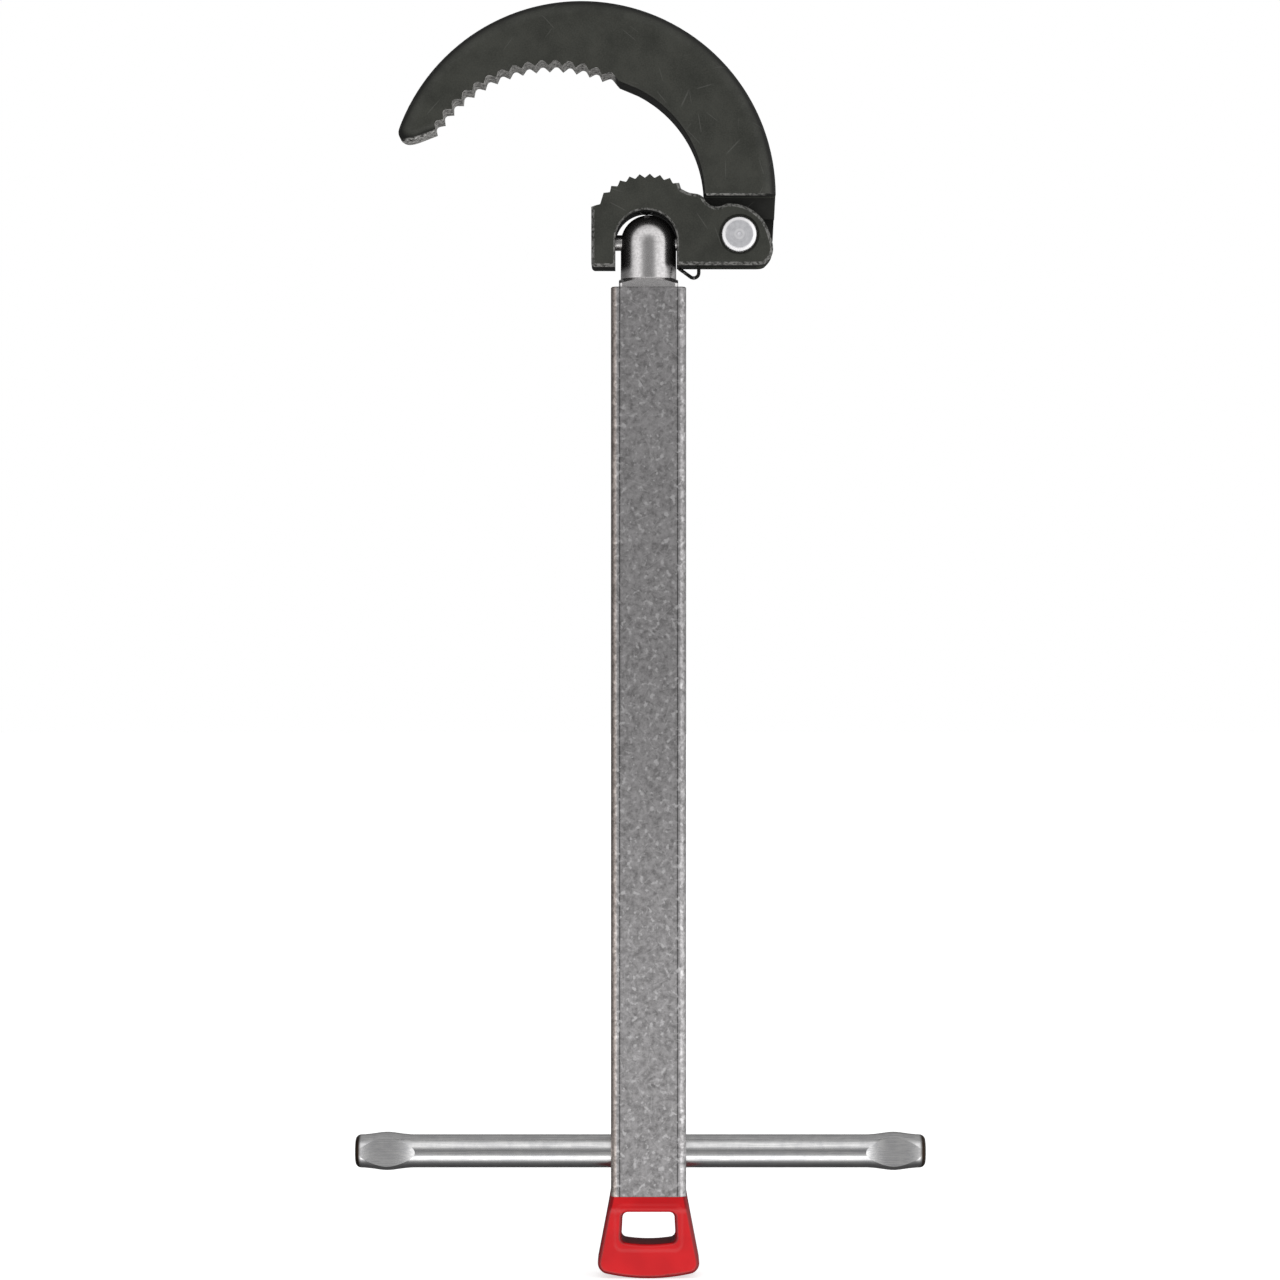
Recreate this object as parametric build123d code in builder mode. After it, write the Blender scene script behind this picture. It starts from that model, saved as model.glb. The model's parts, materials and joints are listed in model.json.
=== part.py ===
from build123d import *
import os
from math import asin, cos, degrees, pi, radians, sin, sqrt

os.makedirs("parts", exist_ok=True)

# Basin wrench: a square telescoping shaft with a sliding T-bar across its foot and, at its top,
# a tilting head that holds a fixed toothed block and a sprung hook jaw.
# All sizes are millimetres. +Z runs along the shaft from the T-bar to the head, +X runs along the
# T-bar, and the front of the tool faces -Y. The origin is where the shaft's and T-bar's axes cross.

# ---- Driving dimensions ----

# Handle tube
tube_width = 19.0
tube_wall = 1.9
tube_corner = 2.0
tube_foot_z = -10.45
tube_top_z = 219.15

# Extension bar, a square bar turned down to a round, domed post
bar_clearance = 0.1
bar_foot_z = 12.0
bar_edge_round = 1.0
shoulder_z = 221.5
post_radius = 7.05

# Tilt joint
tilt_z = 231.0
tilt_pin_radius = 2.0
pin_running_gap = 0.05

# T-bar
t_bar_radius = 4.2
t_bar_left_x = -74.5
t_bar_right_x = 70.4
t_bar_gap = 0.08
t_bar_hole_radius = t_bar_radius + t_bar_gap

# Jaws
jaw_thickness = 13.7
fork_slot = 7.1
rivet_x = 22.95
rivet_z = 232.6
rivet_radius = 2.6

# Detent ball, which hangs from the block's notch and rides on the post's dome
ball_x = -0.6  # the notch sits a little left of the shaft's axis
ball_radius = 2.2
ball_gap = 0.05

# Lock between the tube and the bar
lock_z = 26.0
lock_pitch = 50.8
lock_positions = 4
button_radius = 3.5

# End cap
cap_foot_z = -31.6
cap_thickness = 12.7

half_jaw = jaw_thickness / 2
half_tube = tube_width / 2
half_bore = half_tube - tube_wall
half_bar = half_bore - bar_clearance
rivet_at = (rivet_x, rivet_z)


def on_circle(centre, radius, angle):
    """A point of a circle in the front view, at an angle in degrees from +X towards +Z."""
    x = centre[0] + radius * cos(radians(angle))
    z = centre[1] + radius * sin(radians(angle))
    return (x, z)


def teeth(centre, tip_radius, valley_radius, first_angle, last_angle, tips):
    """Points of a row of teeth along an arc: each tip and the valley that follows it."""
    pitch = (last_angle - first_angle) / (tips - 1)
    points = []
    for number in range(tips):
        angle = first_angle + number * pitch
        points.append(on_circle(centre, tip_radius, angle))
        points.append(on_circle(centre, valley_radius, angle + pitch / 2))
    return points


def crown(edge_radius, rise):
    """Halfway up a domed end, whose arc is centred on the axis: distance out, drop from the top."""
    dome_radius = (edge_radius**2 + rise**2) / (2 * rise)
    half_angle = asin(edge_radius / dome_radius) / 2
    return dome_radius * sin(half_angle), dome_radius * (1 - cos(half_angle))


def at_radius(vertices, centre, radius):
    """The vertices of a front-view sketch that lie at a radius from a centre."""
    middle = Vector(centre[0], centre[1])
    return [v for v in vertices if abs((Vector(v.X, v.Y) - middle).length - radius) < 0.01]


def is_arc(edge, radius):
    """Whether an edge is a circular arc of a radius."""
    return edge.geom_type == GeomType.CIRCLE and abs(edge.radius - radius) < 0.01


# ---- Handle tube ----

button_hole_radius = button_radius + 0.2

with BuildPart() as handle_tube:
    with BuildSketch(Plane.XY.offset(tube_foot_z)) as tube_section:
        RectangleRounded(tube_width, tube_width, tube_corner)
        RectangleRounded(2 * half_bore, 2 * half_bore, 0.6, mode=Mode.SUBTRACT)
    extrude(amount=tube_top_z - tube_foot_z)
    # the T-bar's holes through both side walls
    with BuildSketch(Plane.YZ) as t_bar_holes:
        Circle(t_bar_hole_radius)
    extrude(amount=tube_width, both=True, mode=Mode.SUBTRACT)
    # the lock's holes, in the back wall only
    with BuildSketch(Plane.XZ) as lock_holes:
        for position in range(lock_positions):
            with Locations((0, lock_z + position * lock_pitch)):
                Circle(button_hole_radius)
    extrude(amount=-tube_width, mode=Mode.SUBTRACT)
    # the cut ends are deburred
    chamfer(handle_tube.faces().sort_by(Axis.Z)[-1].edges(), 0.25)
handle_tube.part.label = "handle_tube"
export_step(handle_tube.part, "parts/handle_tube.step")

# ---- T-bar ----

swage_inset = 8.1  # from each end to the middle of its flattened swage
swage_bulge = 4.85
swage_half_length = 6.8
flat_depth_y = 3.2
flat_die_radius = 26.0
t_bar_end_round = 1.5
swage_centres = (t_bar_left_x + swage_inset, t_bar_right_x - swage_inset)

with BuildPart() as t_bar:
    # half of the bar's side view, which bulges at both swages
    with BuildSketch(Plane.XZ) as t_bar_half:
        with BuildLine():
            Polyline(
                (swage_centres[0] - swage_half_length, t_bar_radius),
                (t_bar_left_x, t_bar_radius),
                (t_bar_left_x, 0),
                (t_bar_right_x, 0),
                (t_bar_right_x, t_bar_radius),
                (swage_centres[1] + swage_half_length, t_bar_radius),
            )
            Line(
                (swage_centres[0] + swage_half_length, t_bar_radius),
                (swage_centres[1] - swage_half_length, t_bar_radius),
            )
            for centre_x in swage_centres:
                Spline(
                    (centre_x - swage_half_length, t_bar_radius),
                    (centre_x, swage_bulge),
                    (centre_x + swage_half_length, t_bar_radius),
                    tangents=[(1, 0), (1, 0)],
                )
        make_face()
    revolve(axis=Axis.X)
    fillet(t_bar.faces().filter_by(Axis.X).edges(), t_bar_end_round)
    # each swage is pressed flat front and back
    for centre_x in swage_centres:
        with BuildSketch(Plane.XY.offset(-2 * swage_bulge)) as dies:
            with Locations((centre_x, flat_depth_y + flat_die_radius)):
                Circle(flat_die_radius)
            with Locations((centre_x, -flat_depth_y - flat_die_radius)):
                Circle(flat_die_radius)
        extrude(amount=4 * swage_bulge, mode=Mode.SUBTRACT)
t_bar.part.label = "t_bar"
export_step(t_bar.part, "parts/t_bar.step")

# ---- End cap ----

cap_shoulder_half = 9.6
cap_foot_half = 13.3
cap_foot_radius = 49.0
cap_corner_round = 2.8
cap_edge_round = 1.1
cap_neck_z = -14.2  # where the front and back slopes meet the flat part
cap_neck_round = 3.0
plug_top_z = 9.0
hole_top_z = -14.75
hole_foot_z = -22.3
hole_sag = 0.65
hole_half_top = 6.5
hole_half_foot = 6.9
hole_corner_round = 1.4
hole_edge_round = 1.0


def on_hole_rim(edge):
    """Whether an edge is on the front or back rim of the hanging hole."""
    place = edge.center()
    beside = abs(place.X) < hole_half_foot + 0.1
    level = hole_foot_z - hole_sag - 0.1 < place.Z < hole_top_z + 0.1
    return beside and level and abs(place.Y) > cap_thickness / 2 - 0.1


with BuildPart() as end_cap:
    # front view: sides that spread towards a rounded foot
    with BuildSketch(Plane.XZ) as cap_outline:
        with BuildLine():
            foot_centre_z = cap_foot_z + cap_foot_radius
            foot_drop = sqrt(cap_foot_radius**2 - cap_foot_half**2)
            foot_corner_z = foot_centre_z - foot_drop
            ThreePointArc((-cap_foot_half, foot_corner_z), (0, cap_foot_z), (cap_foot_half, foot_corner_z))
            Polyline(
                (cap_foot_half, foot_corner_z),
                (cap_shoulder_half, tube_foot_z),
                (-cap_shoulder_half, tube_foot_z),
                (-cap_foot_half, foot_corner_z),
            )
        make_face()
        fillet(cap_outline.vertices().group_by(Axis.Y)[0], cap_corner_round)
    extrude(amount=tube_width, both=True)
    # side view: the full tube's depth at the top, thinner from the hole down
    with BuildSketch(Plane.YZ) as cap_side:
        Polygon(
            (-cap_shoulder_half, tube_foot_z),
            (-cap_thickness / 2, cap_neck_z),
            (-cap_thickness / 2, cap_foot_z - 1),
            (cap_thickness / 2, cap_foot_z - 1),
            (cap_thickness / 2, cap_neck_z),
            (cap_shoulder_half, tube_foot_z),
            align=None,
        )
        fillet([v for v in cap_side.vertices() if abs(v.Y - cap_neck_z) < 0.01], cap_neck_round)
    extrude(amount=2 * tube_width, both=True, mode=Mode.INTERSECT)
    shoulder_edges = end_cap.faces().sort_by(Axis.Z)[-1].edges()
    fillet(end_cap.edges() - shoulder_edges - end_cap.edges().filter_by(Axis.Y), cap_edge_round)
    # hanging hole
    with BuildSketch(Plane.XZ) as hang_hole:
        with BuildLine():
            ThreePointArc(
                (-hole_half_foot, hole_foot_z), (0, hole_foot_z - hole_sag), (hole_half_foot, hole_foot_z)
            )
            Polyline(
                (hole_half_foot, hole_foot_z),
                (hole_half_top, hole_top_z),
                (-hole_half_top, hole_top_z),
                (-hole_half_foot, hole_foot_z),
            )
        make_face()
        fillet(hang_hole.vertices(), hole_corner_round)
    extrude(amount=tube_width, both=True, mode=Mode.SUBTRACT)
    fillet([e for e in end_cap.edges() if on_hole_rim(e)], hole_edge_round)
    # square plug inside the tube; the T-bar runs through it and so keeps the cap on
    with BuildSketch(Plane.XY.offset(tube_foot_z)) as plug_section:
        RectangleRounded(2 * half_bore, 2 * half_bore, 0.8)
    extrude(amount=plug_top_z - tube_foot_z)
    with BuildSketch(Plane.YZ) as plug_bore:
        Circle(t_bar_hole_radius)
    extrude(amount=tube_width, both=True, mode=Mode.SUBTRACT)
end_cap.part.label = "end_cap"
export_step(end_cap.part, "parts/end_cap.step")

# ---- Extension bar ----

shoulder_flat_radius = 7.4
shoulder_chamfer_drop = 1.3
shoulder_corner_radius = 10.2
post_root_round = 0.3
dimple_depth = 0.35
button_travel = 2.9
button_flange_radius = 4.6
button_flange = 1.2
button_seat_y = half_bar - 0.1 - button_travel  # outer face of the flange with the button pressed
lock_bore_radius = button_flange_radius + 0.1
lock_bore_floor_y = -4.0

with BuildPart() as extension_bar:
    with BuildSketch(Plane.XY.offset(bar_foot_z)) as bar_section:
        RectangleRounded(2 * half_bar, 2 * half_bar, bar_edge_round)
    extrude(amount=shoulder_z - bar_foot_z)
    # both ends are turned, which leaves curved chamfers on the square's corners
    with BuildSketch(Plane.XZ) as turned_ends:
        Polygon(
            (0, bar_foot_z),
            (shoulder_flat_radius, bar_foot_z),
            (shoulder_corner_radius, bar_foot_z + shoulder_chamfer_drop),
            (shoulder_corner_radius, shoulder_z - shoulder_chamfer_drop),
            (shoulder_flat_radius, shoulder_z),
            (0, shoulder_z),
            align=None,
        )
    revolve(axis=Axis.Z, mode=Mode.INTERSECT)
    # round post with a domed end, centred on the tilt axis
    with BuildSketch(Plane.XZ) as post_half:
        with BuildLine():
            Line((0, shoulder_z - 1), (post_radius + post_root_round, shoulder_z - 1))
            Line((post_radius + post_root_round, shoulder_z - 1), (post_radius + post_root_round, shoulder_z))
            ThreePointArc(
                (post_radius + post_root_round, shoulder_z),
                on_circle((post_radius + post_root_round, shoulder_z + post_root_round), post_root_round, 225),
                (post_radius, shoulder_z + post_root_round),
            )
            Line((post_radius, shoulder_z + post_root_round), (post_radius, tilt_z))
            ThreePointArc(
                (post_radius, tilt_z), on_circle((0, tilt_z), post_radius, 45), (0, tilt_z + post_radius)
            )
            Line((0, tilt_z + post_radius), (0, shoulder_z - 1))
        make_face()
    revolve(axis=Axis.Z)
    # cross bore for the tilt pin
    with BuildSketch(Plane.YZ) as tilt_bore:
        with Locations((0, tilt_z)):
            Circle(tilt_pin_radius + pin_running_gap)
    extrude(amount=half_tube, both=True, mode=Mode.SUBTRACT)
    # dimple that the detent ball clicks into when the head is straight
    with Locations((ball_x, 0, tilt_z + post_radius + ball_radius - dimple_depth)):
        Sphere(ball_radius, mode=Mode.SUBTRACT)
    # blind bore for the lock button, from the back
    with BuildSketch(Plane.XZ.offset(-lock_bore_floor_y)) as lock_bore:
        with Locations((0, lock_z)):
            Circle(lock_bore_radius)
    extrude(amount=lock_bore_floor_y - half_tube, mode=Mode.SUBTRACT)
extension_bar.part.label = "extension_bar"
export_step(extension_bar.part, "parts/extension_bar.step")

# ---- Lock button and its spring ----

button_axis = Axis((0, 0, lock_z), (0, 1, 0))
button_plane = Plane(origin=(0, 0, lock_z), x_dir=(1, 0, 0), z_dir=(0, 0, 1))
button_top_y = button_seat_y + button_travel
button_dome = 0.5
lock_wire = 0.6
lock_coil_radius = 3.0
lock_turns = 5

with BuildPart() as lock_button:
    with BuildSketch(button_plane) as button_half:
        with BuildLine():
            Polyline(
                (0, button_seat_y - button_flange),
                (button_flange_radius, button_seat_y - button_flange),
                (button_flange_radius, button_seat_y),
                (button_radius, button_seat_y),
                (button_radius, button_top_y - button_dome),
            )
            crown_x, crown_drop = crown(button_radius, button_dome)
            ThreePointArc(
                (button_radius, button_top_y - button_dome),
                (crown_x, button_top_y - crown_drop),
                (0, button_top_y),
            )
            Line((0, button_top_y), (0, button_seat_y - button_flange))
        make_face()
    revolve(axis=button_axis)
lock_button.part.label = "lock_button"
export_step(lock_button.part, "parts/lock_button.step")

spring_length = button_seat_y - button_flange - lock_bore_floor_y
spring_rise = spring_length - lock_wire - 0.1
with BuildPart() as lock_spring:
    with BuildLine() as lock_helix:
        Helix(
            pitch=spring_rise / lock_turns,
            height=spring_rise,
            radius=lock_coil_radius,
            center=(0, lock_bore_floor_y + lock_wire / 2 + 0.05, lock_z),
            direction=(0, 1, 0),
        )
    with BuildSketch(lock_helix.line ^ 0) as lock_wire_section:
        Circle(lock_wire / 2)
    sweep(is_frenet=True)
lock_spring.part.label = "lock_spring"
export_step(lock_spring.part, "parts/lock_spring.step")

# ---- Jaw block ----

block_left_x = -14.5
block_foot_z = 224.85
left_leg_foot_z = 224.4
block_shoulder = (-14.5, 239.6)
block_first_valley = (-12.25, 240.2)
block_tooth_centre = (-0.2, 232.6)
block_tip_radius = 15.3
block_valley_radius = 14.3
block_first_tip = 136.9
block_last_tip = 58.7
block_tips = 9
ear_centre = (20.7, 230.1)
ear_radius = 10.33
ear_start_angle = 97.0
ear_end_angle = 18.0
ear_corner_end = (27.2, 224.85)
notch_radius = 7.85
fork_floor_x = 11.9
ball_bore_radius = 2.3
ball_bore_top_z = 244.6
rivet_head_radius = 4.4
rivet_seat_depth = 1.0
rivet_seat_radius = rivet_head_radius + 0.7
block_edge_break = 0.8
notch_edge_break = 0.45


def on_notch_rim(edge):
    """Whether an edge is on the notch's front or back outline."""
    place = edge.center()
    flush = abs(abs(place.Y) - half_jaw) < 0.01
    return flush and abs(place.X - ball_x) < notch_radius + 0.1 and place.Z < tilt_z + notch_radius + 0.1


def on_block_rim(edge):
    """Whether an edge is on the smooth part of the block's front or back outline."""
    place = edge.center()
    flush = abs(abs(place.Y) - half_jaw) < 0.01
    toothed = place.Z > block_shoulder[1] - 0.5 and place.X < row[-1][0]
    bored = is_arc(edge, rivet_radius) or is_arc(edge, rivet_seat_radius)
    return flush and not (toothed or bored or on_notch_rim(edge))


with BuildPart() as jaw_block:
    with BuildSketch(Plane.XZ) as block_outline:
        with BuildLine():
            ear_start = on_circle(ear_centre, ear_radius, ear_start_angle)
            ear_end = on_circle(ear_centre, ear_radius, ear_end_angle)
            row = teeth(
                block_tooth_centre,
                block_tip_radius,
                block_valley_radius,
                block_first_tip,
                block_last_tip,
                block_tips,
            )
            Polyline(
                ear_corner_end,
                (ball_x, block_foot_z),
                (ball_x, left_leg_foot_z),
                (block_left_x, left_leg_foot_z),
                block_shoulder,
                block_first_valley,
                *row,
            )
            # the stop that the hook's root closes against, and the hollow beside the ears
            Spline(row[-1], (10.6, 243.1), (12.5, 242.8), (14.0, 241.8), tangents=[(1, -0.5), (0.7, -1.2)])
            ThreePointArc((14.0, 241.8), (16.9, 239.65), ear_start)
            ThreePointArc(ear_start, on_circle(ear_centre, ear_radius, 50), ear_end)
            Spline(
                ear_end,
                (31.5, 229.6),
                (31.2, 227.3),
                (30.0, 225.7),
                ear_corner_end,
                tangents=[(0.31, -0.95), (-1, 0)],
            )
        make_face()
        fillet(at_radius(block_outline.vertices(), block_tooth_centre, block_valley_radius)[:-1], 0.35)
        fillet(block_outline.vertices().sort_by_distance((block_left_x, left_leg_foot_z))[0], 1.0)
        # the notch that straddles the post, open at the foot
        with Locations((ball_x, tilt_z)):
            Circle(notch_radius, mode=Mode.SUBTRACT)
            Rectangle(2 * notch_radius, 10, align=(Align.CENTER, Align.MAX), mode=Mode.SUBTRACT)
    extrude(amount=half_jaw, both=True)
    # fork slot for the hook's tang, open at the top, foot and right
    with BuildSketch(Plane.YZ.offset(fork_floor_x)) as fork:
        with Locations((0, rivet_z)):
            Rectangle(fork_slot, 40)
    extrude(amount=40, mode=Mode.SUBTRACT)
    # tilt pin bore
    with BuildSketch(Plane.YZ) as pin_bore:
        with Locations((0, tilt_z)):
            Circle(tilt_pin_radius)
    extrude(amount=20, both=True, mode=Mode.SUBTRACT)
    # rivet bore, with a shallow seat for its head at the front
    with BuildSketch(Plane.XZ) as rivet_bore:
        with Locations(rivet_at):
            Circle(rivet_radius)
    extrude(amount=jaw_thickness, both=True, mode=Mode.SUBTRACT)
    with BuildSketch(Plane.XZ.offset(half_jaw - rivet_seat_depth)) as rivet_seat:
        with Locations(rivet_at):
            Circle(rivet_seat_radius)
    extrude(amount=2, mode=Mode.SUBTRACT)
    # blind bore for the detent ball and spring, drilled up from the notch
    with BuildSketch(Plane.XY.offset(tilt_z)) as ball_bore:
        with Locations((ball_x, 0)):
            Circle(ball_bore_radius)
    extrude(amount=ball_bore_top_z - tilt_z, mode=Mode.SUBTRACT)
    # every outer edge is broken, apart from the teeth and the rivet's seat
    chamfer([e for e in jaw_block.edges() if on_block_rim(e)], block_edge_break)
    chamfer([e for e in jaw_block.edges() if on_notch_rim(e)], notch_edge_break)
jaw_block.part.label = "jaw_block"
export_step(jaw_block.part, "parts/jaw_block.step")

# ---- Tilt pin ----

with BuildPart() as tilt_pin:
    with BuildSketch(Plane.YZ.offset(block_left_x + 0.3)) as pin_section:
        with Locations((0, tilt_z)):
            Circle(tilt_pin_radius)
    extrude(amount=fork_floor_x - 0.2 - (block_left_x + 0.3))
    chamfer(tilt_pin.edges().filter_by(GeomType.CIRCLE), 0.3)
tilt_pin.part.label = "tilt_pin"
export_step(tilt_pin.part, "parts/tilt_pin.step")

# ---- Detent ball and its spring ----

ball_reach = post_radius + ball_radius + ball_gap
ball_z = tilt_z + sqrt(ball_reach**2 - ball_x**2)
detent_wire = 0.4
detent_coil_radius = 1.4
detent_turns = 3

with BuildPart() as detent_ball:
    with Locations((ball_x, 0, ball_z)):
        Sphere(ball_radius)
detent_ball.part.label = "detent_ball"
export_step(detent_ball.part, "parts/detent_ball.step")

# the coil sits a little way down the ball's crown
ball_crown_z = ball_z + sqrt(ball_radius**2 - detent_coil_radius**2)
detent_rise = ball_bore_top_z - ball_crown_z - detent_wire - 0.3
with BuildPart() as detent_spring:
    with BuildLine() as detent_helix:
        Helix(
            pitch=detent_rise / detent_turns,
            height=detent_rise,
            radius=detent_coil_radius,
            center=(ball_x, 0, ball_bore_top_z - detent_rise - detent_wire / 2 - 0.05),
        )
    with BuildSketch(detent_helix.line ^ 0) as detent_wire_section:
        Circle(detent_wire / 2)
    sweep(is_frenet=True)
detent_spring.part.label = "detent_spring"
export_step(detent_spring.part, "parts/detent_spring.step")

# ---- Jaw rivet ----

rivet_plane = Plane(origin=(rivet_x, 0, rivet_z), x_dir=(1, 0, 0), z_dir=(0, 0, 1))
rivet_axis = Axis((rivet_x, 0, rivet_z), (0, 1, 0))
head_foot_y = -half_jaw + rivet_seat_depth
head_top_y = -half_jaw - 0.75
tail_radius = 4.1
tail_top_y = half_jaw + 1.2
tail_dome = 0.9

with BuildPart() as jaw_rivet:
    with BuildSketch(rivet_plane) as rivet_half:
        with BuildLine():
            Polyline(
                (0, head_top_y + 0.15),
                (0.45, head_top_y),
                (3.4, head_top_y),
                (rivet_head_radius - 0.15, head_top_y + 0.55),
                (rivet_head_radius, head_top_y + 0.8),
                (rivet_head_radius, head_foot_y),
                (rivet_radius, head_foot_y),
                (rivet_radius, half_jaw),
                (tail_radius, half_jaw),
                (tail_radius, tail_top_y - tail_dome),
            )
            crown_x, crown_drop = crown(tail_radius, tail_dome)
            ThreePointArc(
                (tail_radius, tail_top_y - tail_dome),
                (crown_x, tail_top_y - crown_drop),
                (0, tail_top_y),
            )
            Line((0, tail_top_y), (0, head_top_y + 0.15))
        make_face()
    revolve(axis=rivet_axis)
jaw_rivet.part.label = "jaw_rivet"
export_step(jaw_rivet.part, "parts/jaw_rivet.step")

# ---- Hook jaw ----

back_centre = (-17.0, 242.85)
back_radius = 49.3
back_edge_round = 4.2
throat_centre = (-16.6, 241.8)
throat_radius = 30.7
throat_end_angle = 63.0
hook_tooth_centre = (-24.5, 241.1)
hook_tip_radius = 34.25
hook_valley_radius = 36.0
hook_first_tip = 148.9
hook_last_tip = 68.2
hook_tips = 15
tooth_run_out = (-7.3, 271.1)
tip_face_angle = 201.2
root_z = 242.45
tang_half = fork_slot / 2 - 0.1
tang_radius = 8.7
tang_root_x = 32.2
tang_foot_z = 225.1
tang_front_y = 0.15
coil_room_z = 236.7  # the tang is thinned below this, which leaves room for the spring's coil
tip_corner_round = 2.6
throat_edge_round = 0.7
root_edge_break = 0.5

with BuildPart() as hook_jaw:
    # a disc with rounded rims gives the hook's back
    with BuildSketch(Plane.XZ) as back_disc:
        with Locations(back_centre):
            Circle(back_radius)
    extrude(amount=half_jaw, both=True)
    fillet(hook_jaw.edges().filter_by(GeomType.CIRCLE), back_edge_round)
    with BuildSketch(Plane.XZ) as hook_outline:
        with BuildLine():
            root_angle = degrees(asin((root_z - throat_centre[1]) / throat_radius))
            root = on_circle(throat_centre, throat_radius, root_angle)
            throat_end = on_circle(throat_centre, throat_radius, throat_end_angle)
            tooth_row = teeth(
                hook_tooth_centre,
                hook_tip_radius,
                hook_valley_radius,
                hook_last_tip,
                hook_first_tip,
                hook_tips,
            )[:-1]
            first_valley = on_circle(hook_tooth_centre, hook_valley_radius, hook_last_tip - 2.9)
            past_tip = on_circle(tooth_row[-1], 30, tip_face_angle)
            ThreePointArc(
                root,
                on_circle(throat_centre, throat_radius, (root_angle + throat_end_angle) / 2),
                throat_end,
            )
            Polyline(
                throat_end,
                tooth_run_out,
                first_valley,
                *tooth_row,
                past_tip,
                (past_tip[0], 300),
                (50, 300),
                (50, root_z),
                root,
            )
        make_face()
        fillet(at_radius(hook_outline.vertices(), hook_tooth_centre, hook_valley_radius), 1.0)
    extrude(amount=jaw_thickness, both=True, mode=Mode.INTERSECT)
    # the outer corner of the tip is rounded, and the throat's and root's edges are broken
    fillet(hook_jaw.edges().filter_by(Axis.Y).sort_by(Axis.X)[0], tip_corner_round)
    fillet([e for e in hook_jaw.edges() if is_arc(e, throat_radius)], throat_edge_round)
    chamfer(hook_jaw.faces().sort_by(Axis.Z)[0].edges().filter_by(Axis.X), root_edge_break)
    # tang between the block's ears
    tang_left_x = rivet_x - tang_radius
    with BuildSketch(Plane.XZ) as tang:
        with BuildLine():
            Polyline(
                (tang_left_x, rivet_z),
                (tang_left_x, root_z + 0.5),
                (tang_root_x, root_z + 0.5),
                (rivet_x + tang_radius, rivet_z),
            )
            ThreePointArc(
                (rivet_x + tang_radius, rivet_z),
                (rivet_x, rivet_z - tang_radius),
                (tang_left_x, rivet_z),
            )
        make_face()
        with Locations((rivet_x, tang_foot_z)):
            Rectangle(40, 10, align=(Align.CENTER, Align.MAX), mode=Mode.SUBTRACT)
        with Locations(rivet_at):
            Circle(rivet_radius + pin_running_gap, mode=Mode.SUBTRACT)
    extrude(amount=tang_half, both=True)
    with BuildSketch(Plane.XZ.offset(-tang_front_y)) as coil_room:
        with Locations((rivet_x, coil_room_z)):
            Rectangle(40, 40, align=(Align.CENTER, Align.MAX))
    extrude(amount=10, mode=Mode.SUBTRACT)
hook_jaw.part.label = "hook_jaw"
export_step(hook_jaw.part, "parts/hook_jaw.step")

# ---- Jaw spring ----

# A torsion spring coiled around the rivet, in front of the tang. One leg drops out of the fork and
# hooks under the block, and the other presses up under the tang's step, which closes the jaw.
wire = 0.9
coil_radius = 3.4
coil_turns = 2
coil_pitch = 0.95
coil_front_y = -2.55
coil_slope = coil_pitch / (2 * pi * coil_radius)  # the legs leave the coil at its own slope
coil_back_y = coil_front_y + coil_turns * coil_pitch
leg_z = rivet_z + coil_radius
drop_leg_x = 12.75
drop_leg_y = coil_front_y - coil_slope * (rivet_x - drop_leg_x)
loop_foot_z = 220.6
hook_end_x = 7.7
hook_end_z = 224.25
push_leg_length = 6.5

with BuildPart() as jaw_spring:
    with BuildLine() as spring_path:
        # the leg that hooks under the block, up to the coil
        FilletPolyline(
            (hook_end_x, drop_leg_y, hook_end_z),
            (drop_leg_x, drop_leg_y, loop_foot_z),
            (drop_leg_x, drop_leg_y, leg_z),
            (rivet_x, coil_front_y, leg_z),
            radius=(1.3, 1.5),
        )
        Helix(
            pitch=coil_pitch,
            height=coil_turns * coil_pitch,
            radius=coil_radius,
            center=(rivet_x, coil_front_y, rivet_z),
            direction=(0, 1, 0),
        )
        # the leg that presses on the tang
        Line(
            (rivet_x, coil_back_y, leg_z),
            (rivet_x + push_leg_length, coil_back_y + coil_slope * push_leg_length, leg_z),
        )
    with BuildSketch(spring_path.line ^ 0) as wire_section:
        Circle(wire / 2)
    sweep()
jaw_spring.part.label = "jaw_spring"
export_step(jaw_spring.part, "parts/jaw_spring.step")
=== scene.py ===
import json
import math

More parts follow.
